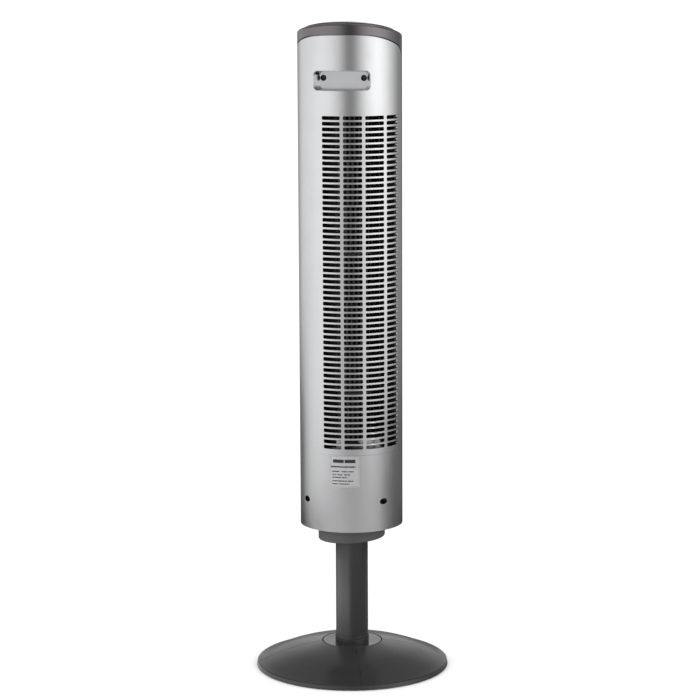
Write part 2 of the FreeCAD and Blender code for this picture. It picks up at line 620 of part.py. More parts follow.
# cooling slits behind the motor bay
for i in range(-4, 5):
    plate = plate.cut(box(i * 8.0 - 1.5, i * 8.0 + 1.5, 46.0, 68.0, 240, 255))
put("head_floor", plate)
pivot = tube(PIVOT_R, 13.0, 229.0, 253.0).fuse(tube(21.0, 15.0, 250.0, 253.0))
pivot = pivot.cut(tube(30.0, 15.0, 231.0, 233.0))
put("pivot_tube", pivot)
put("pivot_washer", tube(22.0, PIVOT_R, 233.0, 235.9))
put("pivot_clip", sector(15.0, 19.6, 231.0, 233.0, -60.0, 240.0))

# swing drive
sm = cyl(24.0, 256.0, 273.0, *PINION_C)
for x, y in EARS:
    sm = sm.fuse(cyl(4.5, 256.0, 257.2, x, y)).fuse(
        box(min(x, 0), max(x, 0), y - 4.5, y + 4.5, 256.0, 257.2).cut(cyl(23.0, 250, 260, *PINION_C)))
    sm = sm.cut(cyl(1.9, 250, 260, x, y))
sm = sm.fuse(cyl(6.0, 253.4, 256.5, *PINION_C))
sm = sm.cut(cyl(2.47, 250, 266, *PINION_C))
put("swing_motor", sm)
put("motor_screws", [screw_z(p.x, p.y, MB[1], 3.4, 2.0, 1.65, 6.8, up=False) for p in MFIX] +
    [screw_z(x, y, 257.2, 3.4, 2.0, 1.65, 6.8, up=False) for x, y in EARS])
put("swing_shaft", cyl(2.4, 235.5, 265.0, *PINION_C))
pin = gear_face(PINION_N, GEAR_M, 90.0 + 180.0 / PINION_N, 0.16, under=0.86)
pin.translate(V(PINION_C[0], PINION_C[1], 235.6))
pin = pin.extrude(V(0, 0, 6.4)).fuse(cyl(4.8, 241.5, 244.6, *PINION_C))
put("swing_pinion", pin.cut(cyl(2.4, 230, 250, *PINION_C)))

# -------------------------------------------------------------------- collar
collar = cyl(COLLAR_R, 205.0, COLLAR_TOP)
under = box(-BIG, BIG, -BIG, BIG, -60.0, 0.0)
low_dir = math.radians(10.4)      # the underside dips towards this azimuth
under.rotate(V(0, 0, 0), V(-math.sin(low_dir), math.cos(low_dir), 0), COLLAR_TILT)
under.translate(V(0, 0, COLLAR_LOW))
collar = collar.cut(under)
collar = try_fillet(collar, 2.2, lambda e: e.BoundBox.ZMax < 230)
collar = collar.cut(cyl(COLLAR_R - 3.0, 227.0, 260.0))
collar = collar.cut(tube(COLLAR_R + 2, COLLAR_R - 0.5, 231.2, 232.0))
collar = collar.fuse(cyl(29.5, 225.0, 242.0))
collar = collar.fuse(cyl(38.0, 226.5, 235.0))
collar = collar.cut(cyl(POST_R, 200.0, 236.0)).cut(cyl(PIVOT_R + 0.06, 230.0, 250.0))
put("swivel_collar", collar.removeSplitter())
put("thrust_ring", tube(28.5, 18.0, 242.0, 244.0))
mid_swing = (SWING_MIN + SWING_MAX) / 2.0


def in_sector(a):
    d = (a - (-90.0 + mid_swing) + 180) % 360 - 180
    return abs(d) < (SWING_MAX - SWING_MIN) / 2.0 + 16.0


gear = gear_face(GEAR_N, GEAR_M, -90.0, 0.16, keep=in_sector).extrude(V(0, 0, 5.4))
gear.translate(V(0, 0, 235.0))
put("sector_gear", gear.cut(cyl(29.5, 230, 250)))

# ------------------------------------------------------------------ post, base
post = tube(POST_R, POST_RI, POST_Z[0], POST_Z[1])
put("post_tube", post)
SEAT_Z = BASE_TOP - 5.8      # underside of the foot disc
UNDER_Z = BASE_TOP - 8.8     # underside of the base skin below it
foot = cyl(RING_R, SEAT_Z, BASE_TOP)
foot = try_fillet(foot, 1.0, lambda e: abs(e.BoundBox.ZMin - BASE_TOP) < 1e-6)
foot = foot.fuse(cyl(28.0, BASE_TOP - 1.0, BASE_TOP + 11.6))
foot = try_fillet(foot, 0.5, lambda e: abs(e.BoundBox.ZMin - BASE_TOP - 11.6) < 1e-6)
foot = foot.cut(rev([(27.3, BASE_TOP + 5.1), (28.5, BASE_TOP + 5.1), (28.5, BASE_TOP + 4.0), (28.0, BASE_TOP + 4.0)]))
foot = foot.fuse(cyl(32.4, UNDER_Z, SEAT_Z + 0.3)).cut(cyl(POST_R, 20, 60))
FIX = [pol(43.2, az(BASE_TURN + 45 + 90 * k)) for k in range(4)]
for p in FIX:
    foot = foot.cut(cyl(2.0, 26, BASE_TOP - 1.6, p.x, p.y))
put("post_foot", foot)
nut = tube(37.0, POST_R, UNDER_Z - 9.8, UNDER_Z)
for a in range(0, 360, 30):
    p = pol(38.4, a)
    nut = nut.cut(cyl(2.6, 15, 40, p.x, p.y))
put("post_nut", nut)
CB = POST_Z[0]
put("cord_bushing", rev([(5.0, CB - 5.0), (26.0, CB - 5.0), (26.0, CB - 0.1), (POST_RI, CB - 0.1), (POST_RI, CB + 6.0),
                         (5.0, CB + 6.0)]))


def base_region(drop, inner_r, r_out, z_low, z_in):
    # dome, small step down to the band, band wall, flat underside
    top = [V(r, 0, z - drop) for r, z in BASE_PROFILE]
    first, last = top[0], top[-1]
    edge = V(min(last.x, r_out - 1.2), 0, BASE_BAND[1] - drop)
    if edge.x < last.x:
        top = [p for p in top if p.x < edge.x - 3.0]
        last = V(edge.x, 0, last.z)
        top.append(last)
    knee = V(r_out - (BASE_R - BASE_BAND[0]), 0, BASE_BAND[1] - drop - 0.1)
    pts = [last, edge, knee, V(r_out, 0, z_low), V(inner_r, 0, z_low), V(inner_r, 0, z_in), V(first.x, 0, z_in), first]
    pts = [p for i, p in enumerate(pts) if i == 0 or (p - pts[i - 1]).Length > 1e-3]
    e = [spline([tuple(p) for p in top])]
    e += [Part.LineSegment(p, q).toShape() for p, q in zip(pts, pts[1:])]
    return Part.Face(Part.Wire(e)).revolve(V(0, 0, 0), V(0, 0, 1), 360)


outer = base_region(0.0, 33.0, BASE_R, BASE_LOW, SEAT_Z)
outer = try_fillet(outer, 0.5, lambda e: abs(e.BoundBox.ZMax - BASE_BAND[1] + 0.1) < 0.02
                   and e.BoundBox.ZLength < 0.02 and e.BoundBox.XMax > BASE_BAND[0] - 0.1)
inner = base_region(BASE_SKIN, 30.0, BASE_R - 2.8, 0.0, UNDER_Z)
# the inner region must stay under the seat of the post foot
inner = inner.common(cyl(BASE_R, -1, 50))
shell = outer.cut(inner)
# ribs and foot bosses hang from the inside of the skin
ribs = []
for k in range(16):
    if k % 4 == 0:
        continue
    r_ = box(39.0, 155.0, -1.1, 1.1, 4.6, 44.0)
    r_.rotate(V(0, 0, 0), V(0, 0, 1), az(BASE_TURN) + 22.5 * k)
    ribs.append(r_)
FEET = [pol(140.0, az(BASE_TURN + 22.5 + 45.0 * k)) for k in range(8)]
for p in FEET:
    ribs.append(cyl(10.5, FOOT_H, 40.0, p.x, p.y))
ribs.append(tube(96.0, 93.8, 8.0, 44.0))
under_skin = base_region(0.6, 33.0, BASE_R - 1.0, BASE_LOW + 0.3, UNDER_Z + 0.8)
keep_nut = cyl(48.5, 0, UNDER_Z)
ribs = fuse(ribs).common(under_skin).cut(keep_nut)
shell = shell.fuse(ribs)
for p in FIX:
    shell = shell.cut(cyl(2.2, 20, 45, p.x, p.y))
# shallow joint lines across the skin, four of them at right angles
lines = []
for k in range(4):
    b_ = box(49.0, 162.0, -0.45, 0.45, 0.0, 50.0)
    b_.rotate(V(0, 0, 0), V(0, 0, 1), az(BASE_TURN) + 90.0 * k)
    lines.append(b_)
skin = outer.cut(base_region(0.9, 33.0, BASE_R - 0.9, 0.0, SEAT_Z - 1.2).fuse(cyl(49.9, 0, 60)))
shell = shell.cut(fuse(lines).common(skin))
half = box(0.05, 200, -200, 200, -5, 60)
half_a, half_b = half.copy(), half.copy()
half_a.rotate(V(0, 0, 0), V(0, 0, 1), BASE_TURN)
half_b.rotate(V(0, 0, 0), V(0, 0, 1), BASE_TURN + 180.0)
put("base_half_left", shell.common(half_b))
put("base_half_right", shell.common(half_a))
put("rubber_feet", [cyl(9.0, 0.0, FOOT_H, p.x, p.y) for p in FEET])
put("base_screws", [screw_z(p.x, p.y, UNDER_Z, 3.8, 2.6, 1.95, 7.0) for p in FIX])

# ------------------------------------------------------------- outside screws
put("rear_shell_screws",
    [screw_y(s * HANDLE_SCREW_X, HANDLE_SCREW_Z, 46.5, 3.7, 2.6, 1.85, 26.0) for s in (-1, 1)] +
    [screw_y(s * LOW_SCREW_X, LOW_SCREW_Z, 41.0, 3.7, 2.6, 1.85, 20.5) for s in (-1, 1)])

half_deg = math.degrees(LABEL_W / 2.0 / BODY_R)
put("rating_label", sector(BODY_R + 0.01, BODY_R + 0.16, LABEL_Z[0], LABEL_Z[1],
                           az(LABEL_PSI - half_deg), az(LABEL_PSI + half_deg)))

# --------------------------------------------------------------------- export
for name in sorted(NODES):
    bb = NODES[name].optimalBoundingBox()
    print("%-20s solids %2d vol %9.1f  z %7.2f .. %7.2f" % (
        name, len(NODES[name].Solids), NODES[name].Volume, bb.ZMin, bb.ZMax))
    NODES[name].exportStep(os.path.join("parts", name + ".step"))
low = min(s.BoundBox.ZMin for s in NODES.values())
high = max(s.BoundBox.ZMax for s in NODES.values())
print(len(NODES), "nodes, height", round(high - low, 2), "of", TOTAL_H)
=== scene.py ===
import math
import bmesh
import bpy
from mathutils import Matrix, Vector


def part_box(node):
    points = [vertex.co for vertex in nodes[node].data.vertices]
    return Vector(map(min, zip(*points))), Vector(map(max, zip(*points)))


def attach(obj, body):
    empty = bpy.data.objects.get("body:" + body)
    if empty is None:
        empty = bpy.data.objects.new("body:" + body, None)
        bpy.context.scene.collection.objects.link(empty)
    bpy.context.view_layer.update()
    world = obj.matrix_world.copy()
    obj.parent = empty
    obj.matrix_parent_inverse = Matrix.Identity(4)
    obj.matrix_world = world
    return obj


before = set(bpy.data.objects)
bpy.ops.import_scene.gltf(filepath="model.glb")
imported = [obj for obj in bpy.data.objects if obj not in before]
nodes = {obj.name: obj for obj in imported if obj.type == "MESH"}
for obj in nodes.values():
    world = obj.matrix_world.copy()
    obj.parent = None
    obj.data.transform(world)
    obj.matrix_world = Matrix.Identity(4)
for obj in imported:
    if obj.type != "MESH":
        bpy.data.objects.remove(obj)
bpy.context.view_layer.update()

scene = bpy.context.scene

# ------------------------------------------------------------------ camera
# The view is from the back, 10.4 degrees round to the intake side.
TURN = math.radians(10.4)
DIST, CAM_H = 3.804906, 1.133869
PITCH, ROLL, YAW = math.radians(9.007), math.radians(0.255), math.radians(-0.023)
EX = Vector((-math.cos(TURN), -math.sin(TURN), 0.0))      # picture right
EY = Vector((math.sin(TURN), -math.cos(TURN), 0.0))       # away from the camera
EZ = Vector((0.0, 0.0, 1.0))


def view(v):
    return EX * v[0] + EY * v[1] + EZ * v[2]


fw = Vector((math.sin(YAW) * math.cos(PITCH), math.cos(YAW) * math.cos(PITCH), -math.sin(PITCH)))
rt = Vector((math.cos(YAW), -math.sin(YAW), 0.0))
dn = fw.cross(rt)
r_ = rt * math.cos(ROLL) + dn * math.sin(ROLL)
d_ = dn * math.cos(ROLL) - rt * math.sin(ROLL)
cam_data = bpy.data.cameras.new("view_camera")
cam_data.sensor_width = 36.0
cam_data.sensor_fit = "HORIZONTAL"
cam_data.lens = 2346.369 / 700.0 * 36.0
cam_data.clip_start, cam_data.clip_end = 0.05, 500.0
cam = bpy.data.objects.new("view_camera", cam_data)
scene.collection.objects.link(cam)
X, Y, Zc = view(r_), view(-d_), view(-fw)
pos = view(Vector((0.0, -DIST, CAM_H)))
cam.matrix_world = Matrix(((X.x, Y.x, Zc.x, pos.x), (X.y, Y.y, Zc.y, pos.y),
                           (X.z, Y.z, Zc.z, pos.z), (0, 0, 0, 1)))
scene.camera = cam
scene.view_settings.view_transform = "Standard"
scene.view_settings.look = "None"

# --------------------------------------------------------------- materials


def srgb(v):
    v = v / 255.0
    return v / 12.92 if v <= 0.04045 else ((v + 0.055) / 1.055) ** 2.4


class Build:
    """Small wrapper over a node tree."""

    def __init__(self, name):
        self.m = bpy.data.materials.new(name)
        self.m.use_nodes = True
        self.t = self.m.node_tree
        self.n = self.t.nodes
        self.bsdf = next(x for x in self.n if x.type == "BSDF_PRINCIPLED")
        self.coord = self.n.new("ShaderNodeTexCoord")

    def link(self, a, b):
        self.t.links.new(a, b)

    def noise(self, scale, detail=2.0, rough=0.5, stretch=None):
        src = self.coord.outputs["Object"]
        if stretch:
            mp = self.n.new("ShaderNodeMapping")
            mp.inputs["Scale"].default_value = stretch
            self.link(src, mp.inputs["Vector"])
            src = mp.outputs["Vector"]
        t = self.n.new("ShaderNodeTexNoise")
        t.inputs["Scale"].default_value = scale
        t.inputs["Detail"].default_value = detail
        t.inputs["Roughness"].default_value = rough
        self.link(src, t.inputs["Vector"])
        return t.outputs["Fac"]

    def cells(self, scale):
        t = self.n.new("ShaderNodeTexVoronoi")
        t.inputs["Scale"].default_value = scale
        self.link(self.coord.outputs["Object"], t.inputs["Vector"])
        return t.outputs["Color"]

    def ramp(self, fac, stops, kind="LINEAR"):
        r = self.n.new("ShaderNodeValToRGB")
        r.color_ramp.interpolation = kind
        e = r.color_ramp.elements
        while len(e) < len(stops):
            e.new(0.5)
        for el, (p, c) in zip(e, stops):
            el.position = p
            el.color = (*c, 1.0) if hasattr(c, "__len__") else (c, c, c, 1.0)
        self.link(fac, r.inputs["Fac"])
        return r.outputs["Color"]

    def maths(self, op, a, b=None, clamp=False):
        m = self.n.new("ShaderNodeMath")
        m.operation = op
        m.use_clamp = clamp
        for i, v in enumerate((a, b)):
            if v is None:
                continue
            if hasattr(v, "is_linked") or hasattr(v, "links"):
                self.link(v, m.inputs[i])
            else:
                m.inputs[i].default_value = v
        return m.outputs[0]

    def spread(self, fac, lo, hi, a=0.3, b=0.7):
        r = self.n.new("ShaderNodeMapRange")
        r.inputs["From Min"].default_value = a
        r.inputs["From Max"].default_value = b
        r.inputs["To Min"].default_value = lo
        r.inputs["To Max"].default_value = hi
        self.link(fac, r.inputs["Value"])
        return r.outputs["Result"]

    def mix(self, fac, a, b):
        m = self.n.new("ShaderNodeMix")
        m.data_type = "RGBA"
        for sock, v in ((m.inputs[0], fac), (m.inputs[6], a), (m.inputs[7], b)):
            if hasattr(v, "is_linked") or hasattr(v, "links"):
                self.link(v, sock)
            elif hasattr(v, "__len__"):
                sock.default_value = (*v, 1.0) if len(v) == 3 else v
            else:
                sock.default_value = v
        return m.outputs[2]

    def bump(self, height, strength, distance, chain=None):
        b = self.n.new("ShaderNodeBump")
        b.inputs["Strength"].default_value = strength
        b.inputs["Distance"].default_value = distance
        self.link(height, b.inputs["Height"])
        if chain is not None:
            self.link(chain, b.inputs["Normal"])
        return b.outputs["Normal"]


def plastic(name, colour, rough, vary=0.10, rough_vary=0.05, grain=2600.0, grain_h=0.00002,
            grain_s=0.12, metallic=0.0, coat=0.0, coat_rough=0.1, spec=0.5, sheen=0.0):
    """Moulded plastic: slow colour drift, fine spark texture, patchy gloss."""
    b = Build(name)
    slow = b.noise(9.0, 3.0)
    lo = tuple(c * (1 - vary) for c in colour)
    hi = tuple(min(1.0, c * (1 + vary)) for c in colour)
    speck = b.noise(grain * 0.5, 1.0)
    col = b.mix(b.spread(slow, 0.0, 1.0), lo, hi)
    col = b.mix(b.spread(speck, 0.0, 0.22), col, tuple(min(1.0, c * (1 + 3 * vary)) for c in colour))
    b.link(col, b.bsdf.inputs["Base Color"])
    b.link(b.spread(b.noise(23.0, 4.0, 0.6), rough - rough_vary, rough + rough_vary), b.bsdf.inputs["Roughness"])
    b.bsdf.inputs["Metallic"].default_value = metallic
    b.bsdf.inputs["Specular IOR Level"].default_value = spec
    b.bsdf.inputs["Coat Weight"].default_value = coat
    b.bsdf.inputs["Coat Roughness"].default_value = coat_rough
    n1 = b.bump(b.noise(grain, 2.0), grain_s, grain_h)
    n2 = b.bump(b.noise(55.0, 2.0), 0.05, 0.0004, n1)
    b.link(n2, b.bsdf.inputs["Normal"])
    return b.m


def metallic_paint(name, colour, rough, flake=0.05, coat=0.25, peel=0.05, metallic=1.0):
    """Metallic paint: fine flakes under a thin lacquer with a little orange peel."""
    b = Build(name)
    fl = b.n.new("ShaderNodeSeparateColor")
    b.link(b.cells(5200.0), fl.inputs["Color"])
    slow = b.noise(7.0, 3.0)
    base = b.mix(b.spread(slow, 0.0, 1.0), tuple(c * 0.975 for c in colour), tuple(min(1, c * 1.02) for c in colour))
    spark = b.mix(b.spread(fl.outputs[0], 0.0, 1.0, 0.0, 1.0), tuple(c * (1 - flake) for c in colour),
                  tuple(min(1, c * (1 + flake)) for c in colour))
    b.link(b.mix(0.5, base, spark), b.bsdf.inputs["Base Color"])
    b.bsdf.inputs["Metallic"].default_value = metallic
    b.link(b.spread(b.noise(31.0, 4.0, 0.6), rough - 0.02, rough + 0.02), b.bsdf.inputs["Roughness"])
    b.bsdf.inputs["Coat Weight"].default_value = coat
    b.bsdf.inputs["Coat Roughness"].default_value = 0.16
    n = b.bump(fl.outputs[1], 0.02, 0.00004)
    n = b.bump(b.noise(420.0, 2.0), peel, 0.00006, n)
    b.link(n, b.bsdf.inputs["Normal"])
    return b.m


def metal(name, colour, rough, brushed=(1.0, 1.0, 60.0), wear=0.25):
    """Machined or rolled metal with directional scratches."""
    b = Build(name)
    s = b.noise(180.0, 4.0, 0.65, stretch=brushed)
    blot = b.noise(28.0, 3.0)
    col = b.mix(b.spread(blot, 0.0, 1.0), tuple(c * (1 - wear * 0.6) for c in colour), colour)
    col = b.mix(b.spread(s, 0.0, 0.35), col, tuple(min(1, c * 1.25) for c in colour))
    b.link(col, b.bsdf.inputs["Base Color"])
    b.bsdf.inputs["Metallic"].default_value = 1.0
    b.link(b.spread(s, rough - 0.07, rough + 0.1), b.bsdf.inputs["Roughness"])
    b.link(b.bump(s, 0.15, 0.00003), b.bsdf.inputs["Normal"])
    return b.m


def winding(name):
    """Layers of enamelled wire round the coil."""
    b = Build(name)
    w = b.n.new("ShaderNodeTexWave")
    w.bands_direction = "Z"
    w.inputs["Scale"].default_value = 420.0
    w.inputs["Distortion"].default_value = 0.6
    b.link(b.coord.outputs["Object"], w.inputs["Vector"])
    b.link(b.mix(w.outputs["Fac"], (0.28, 0.09, 0.03), (0.72, 0.33, 0.14)), b.bsdf.inputs["Base Color"])
    b.bsdf.inputs["Metallic"].default_value = 0.8
    b.link(b.spread(b.noise(90.0), 0.25, 0.45), b.bsdf.inputs["Roughness"])
    b.link(b.bump(w.outputs["Fac"], 0.7, 0.0003), b.bsdf.inputs["Normal"])
    return b.m


def laminated(name):
    """Stack of thin steel sheets."""
    b = Build(name)
    w = b.n.new("ShaderNodeTexWave")
    w.bands_direction = "Z"
    w.inputs["Scale"].default_value = 320.0
    b.link(b.coord.outputs["Object"], w.inputs["Vector"])
    col = b.mix(w.outputs["Fac"], (0.10, 0.10, 0.11), (0.34, 0.34, 0.36))
    col = b.mix(b.spread(b.noise(60.0, 4.0), 0.0, 0.4), col, (0.22, 0.15, 0.10))
    b.link(col, b.bsdf.inputs["Base Color"])
    b.bsdf.inputs["Metallic"].default_value = 0.9
    b.link(b.spread(b.noise(120.0), 0.4, 0.6), b.bsdf.inputs["Roughness"])
    b.link(b.bump(w.outputs["Fac"], 0.5, 0.0002), b.bsdf.inputs["Normal"])
    return b.m


def label_film(name):
    b = Build(name)
    n = b.noise(2400.0, 1.0)
    fine = b.noise(140.0, 3.0)
    col = b.mix(b.spread(fine, 0.0, 1.0), (0.47, 0.47, 0.48), (0.53, 0.53, 0.54))
    b.link(col, b.bsdf.inputs["Base Color"])
    b.bsdf.inputs["Metallic"].default_value = 0.55
    b.link(b.spread(n, 0.34, 0.46), b.bsdf.inputs["Roughness"])
    b.link(b.bump(n, 0.08, 0.00002), b.bsdf.inputs["Normal"])
    return b.m


def smoked(name):
    b = Build(name)
    b.link(b.mix(b.spread(b.noise(40.0, 2.0), 0.0, 1.0), (0.010, 0.010, 0.012), (0.018, 0.018, 0.021)),
           b.bsdf.inputs["Base Color"])
    b.link(b.spread(b.noise(70.0, 3.0), 0.04, 0.09), b.bsdf.inputs["Roughness"])
    b.bsdf.inputs["Coat Weight"].default_value = 0.6
    b.bsdf.inputs["Coat Roughness"].default_value = 0.03
    b.link(b.bump(b.noise(300.0), 0.02, 0.00003), b.bsdf.inputs["Normal"])
    return b.m


def board_mat(name):
    """Green solder mask with copper tracks showing faintly through it."""
    b = Build(name)
    br = b.n.new("ShaderNodeTexBrick")
    br.inputs["Scale"].default_value = 130.0
    br.inputs["Mortar Size"].default_value = 0.03
    br.inputs["Color1"].default_value = (0.012, 0.085, 0.035, 1)
    br.inputs["Color2"].default_value = (0.010, 0.070, 0.030, 1)
    br.inputs["Mortar"].default_value = (0.03, 0.16, 0.06, 1)
    b.link(b.coord.outputs["Object"], br.inputs["Vector"])
    b.link(br.outputs["Color"], b.bsdf.inputs["Base Color"])
    b.link(b.spread(b.noise(60.0), 0.25, 0.4), b.bsdf.inputs["Roughness"])
    b.link(b.bump(br.outputs["Fac"], 0.25, 0.00004), b.bsdf.inputs["Normal"])
    return b.m


M = {
    "silver": metallic_paint("silver_paint", (0.60, 0.602, 0.61), 0.225, flake=0.05, coat=0.15, peel=0.04),
    "cap": metallic_paint("gunmetal_paint", (0.148, 0.138, 0.148), 0.16, flake=0.08, coat=0.30, peel=0.04),
    "front": metallic_paint("gunmetal_front", (0.085, 0.083, 0.088), 0.24, flake=0.06, coat=0.4, peel=0.04),
    "panel": plastic("panel_gloss", (0.012, 0.012, 0.013), 0.16, coat=0.5, coat_rough=0.06, grain_s=0.04),
    "trim": metallic_paint("trim_ring_paint", (0.20, 0.20, 0.21), 0.18, coat=0.5),
    "stand": plastic("stand_plastic", (0.026, 0.025, 0.026), 0.22, vary=0.07, grain_s=0.10, spec=0.6),
    "post": plastic("post_plastic", (0.022, 0.021, 0.022), 0.20, vary=0.06, grain_s=0.07, spec=0.6),
    "collar": plastic("collar_plastic", (0.070, 0.069, 0.072), 0.42, vary=0.06, grain_s=0.18),
    "black": plastic("black_moulding", (0.014, 0.014, 0.015), 0.46, vary=0.10, grain_s=0.3, grain_h=0.00004),
    "wheel": plastic("wheel_moulding", (0.020, 0.020, 0.021), 0.33, vary=0.12, grain_s=0.2),
    "guide": plastic("duct_moulding", (0.018, 0.018, 0.019), 0.30, vary=0.10, grain_s=0.2),
    "steel": metal("plated_steel", (0.62, 0.62, 0.63), 0.30),
    "bright": metal("turned_steel", (0.70, 0.70, 0.71), 0.22, brushed=(1.0, 1.0, 90.0)),
    "screw": metal("black_oxide_steel", (0.060, 0.060, 0.064), 0.34, brushed=(1.0, 40.0, 1.0)),
    "lamination": laminated("laminated_core"),
    "copper": winding("copper_winding"),
    "bronze": metal("oiled_bronze", (0.55, 0.36, 0.16), 0.35),
    "rubber": plastic("black_rubber", (0.018, 0.018, 0.018), 0.62, vary=0.15, grain_s=0.5, grain_h=0.00005),
    "nylon": plastic("natural_nylon", (0.66, 0.64, 0.57), 0.40, vary=0.04, grain_s=0.1),
    "board": board_mat("solder_mask"),
    "part": plastic("component_black", (0.03, 0.03, 0.032), 0.35),
    "lamp": plastic("lamp_epoxy", (0.62, 0.68, 0.76), 0.12, vary=0.05, grain_s=0.02, coat=0.4),
    "window": smoked("smoked_window"),
    "button": metallic_paint("button_paint", (0.34, 0.34, 0.355), 0.25, coat=0.3),
    "label": label_film("label_film"),
    "ink": plastic("label_ink", (0.012, 0.012, 0.012), 0.5, vary=0.3, grain_s=0.1),
    "mark": plastic("button_mark_ink", (0.70, 0.70, 0.70), 0.45, vary=0.05, grain_s=0.1),
}

USE = {
    "rear_shell": "silver", "rear_grille": "silver", "handle_recess": "silver",
    "top_cap": "cap", "front_shell": "front", "control_panel": "panel", "panel_trim_ring": "trim",
    "swivel_collar": "collar", "post_tube": "post", "post_foot": "stand",
    "base_half_left": "stand", "base_half_right": "stand",
    "front_grille": "black", "upper_frame": "black", "air_guide_wall": "guide", "cutoff_wall": "guide",
    "wheel_segments": "wheel", "wheel_top_disc": "wheel", "wheel_drive_hub": "wheel",
    "head_floor": "black", "post_nut": "black",
    "motor_bracket": "steel", "motor_posts": "bright", "motor_post_screws": "steel", "motor_screws": "steel",
    "motor_shaft": "bright", "wheel_top_stub": "bright", "motor_top_bell": "steel", "motor_bottom_bell": "steel",
    "pivot_tube": "bright", "pivot_washer": "steel", "pivot_clip": "steel", "swing_shaft": "bright",
    "swing_motor": "steel", "motor_rotor": "bright",
    "rear_shell_screws": "screw", "base_screws": "screw", "board_screws": "screw", "hub_set_screw": "screw",
    "stator_core": "lamination", "stator_windings": "copper", "motor_bearings": "bronze", "upper_bearing": "bronze",
    "rubber_feet": "rubber", "bearing_bush": "rubber", "cord_bushing": "rubber",
    "thrust_ring": "nylon", "sector_gear": "nylon", "swing_pinion": "nylon",
    "control_board": "board", "tact_switches": "part", "run_capacitor": "part", "speed_lamps": "lamp",
    "display_window": "window", "rating_label": "label",
    "button_power": "button", "button_speed": "button", "button_timer": "button",
    "button_swing": "button", "button_mode": "button",
}
for name, obj in nodes.items():
    obj.data.materials.clear()
    obj.data.materials.append(M[USE[name]])

BODY_R = 0.0845


def bare_moulding_and_painted_shade(name, test):
    """Faces that the outside paint doesn't reach show the bare black moulding; the screw wells are also turned
    black, as painted shade deep in the holes.
    """
    me = nodes[name].data
    me.materials.append(M["black"])
    for p in me.polygons:
        if test(p.center, p.normal):
            p.material_index = 1


# Screw wells in the rear shell: their faces get the black moulding as painted shade deep in the holes.
def painted_shade_well(c, x, z, r):
    return (abs(c.x) - x) ** 2 + (c.z - z) ** 2 < r * r and c.y > 0.0


def inner_face(c, n):
    r = math.hypot(c.x, c.y)
    return r < 0.0822 and (c.x * n.x + c.y * n.y) < -0.3 * r


# Side walls and floor of the screw wells in the handle recess: black as painted shade deep in the holes.
def painted_shade_recess_well(c, n):
    dx, dz = abs(c.x) - 0.0328, c.z - 0.9772
    d = math.hypot(dx, dz)
    side = abs(d - 0.0049) < 0.0004 and (dx * math.copysign(n.x, n.x * c.x) + dz * n.z) < -0.6 * d
    return 0.0 < c.y < 0.0545 and (side or (d < 0.0050 and n.y > 0.9 and c.y < 0.0480))


# Screw wells get painted shade (black); inner faces of the shells show the bare black moulding.
bare_moulding_and_painted_shade("handle_recess", painted_shade_recess_well)
bare_moulding_and_painted_shade("rear_shell", lambda c, n: painted_shade_well(c, 0.0631, 0.2915, 0.0051) or inner_face(c, n))
bare_moulding_and_painted_shade("front_shell", inner_face)
bare_moulding_and_painted_shade("top_cap", lambda c, n: n.z < -0.5 or inner_face(c, n))

# ---------------------------------------------------------- printed details


def mesh_object(name, bm, mat, body):
    me = bpy.data.meshes.new(name)
    bm.normal_update()
    bm.to_mesh(me)
    bm.free()
    ob = bpy.data.objects.new(name, me)
    scene.collection.objects.link(ob)
    me.materials.append(M[mat])
    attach(ob, body)
    return ob


def pill(bm, place, cx, cy, w, h, t, seg=4):
    """Flat bar with rounded ends; place(u, v, lift) puts it on the surface."""
    r = min(w, h) / 2.0
    ring = []
    for sx, sy, a0 in ((1, 1, 0), (-1, 1, 90), (-1, -1, 180), (1, -1, 270)):
        for k in range(seg + 1):
            a = math.radians(a0 + 90.0 * k / seg)
            ring.append((cx + sx * (w / 2 - r) + r * math.cos(a), cy + sy * (h / 2 - r) + r * math.sin(a)))
    low = [bm.verts.new(place(u, v, 0.0)) for u, v in ring]
    top = [bm.verts.new(place(u, v, t)) for u, v in ring]
    bm.faces.new(top)
    bm.faces.new(list(reversed(low)))
    n = len(ring)
    for i in range(n):
        bm.faces.new((low[i], low[(i + 1) % n], top[(i + 1) % n], top[i]))


def strip(bm, place, u0, u1, v, h, t):
    """Straight bar that follows the curved surface."""
    n = max(1, math.ceil((u1 - u0) / 0.001))
    loops = []
    for k in range(n + 1):
        u = u0 + (u1 - u0) * k / n
        loops.append([bm.verts.new(place(u, v + q * h / 2, w)) for q, w in ((-1, 0.0), (1, 0.0), (1, t), (-1, t))])
    for a, b in zip(loops, loops[1:]):
        for i in range(4):
            bm.faces.new((a[i], a[(i + 1) % 4], b[(i + 1) % 4], b[i]))
    bm.faces.new(list(reversed(loops[0])))
    bm.faces.new(loops[-1])


# rating label: word-like bars, no lettering
lab_lo, lab_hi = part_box("rating_label")
LAB_Z0, LAB_Z1 = lab_lo.z, lab_hi.z
LAB_R = BODY_R + 0.00016


def on_label(psi0):
    def place(u, v, lift):
        # u runs to the picture's right along the curved face, v is height
        psi = psi0 + u / LAB_R
        r = LAB_R + lift
        return (-r * math.sin(psi), r * math.cos(psi), v)
    return place


